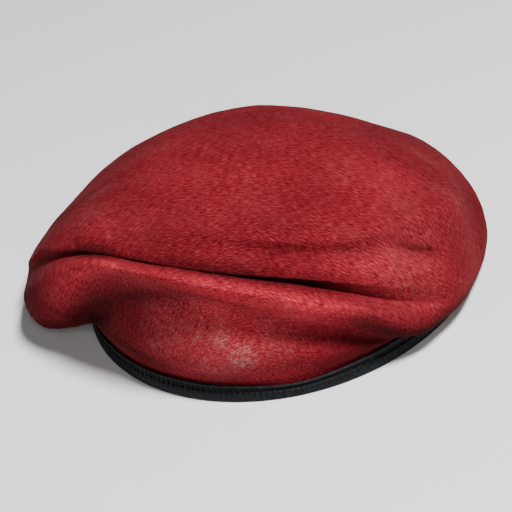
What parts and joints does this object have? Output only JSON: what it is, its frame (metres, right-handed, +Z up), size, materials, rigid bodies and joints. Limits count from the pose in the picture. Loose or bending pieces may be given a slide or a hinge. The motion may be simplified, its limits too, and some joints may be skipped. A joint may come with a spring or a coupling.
{
  "type": "military beret",
  "caption": "Soft red wool felt beret with a front roll, draped over the wearer's right side and bound along its lower edge by a narrow black leather headband.",
  "frame": {"origin": "under the middle of the beret's outline, on the surface that it rests on", "axes": "+Z up, -Y the wearer's front, -X the wearer's right, where the crown drapes over"},
  "size_m": [0.2012, 0.2326, 0.0786],
  "materials": {
    "felt": "brushed wool felt, matt",
    "leather": "black, satin, stitched along its upper edge"
  },
  "bodies": {
    "root": {"crown": "felt", "headband": "leather"}
  },
  "joints": []
}
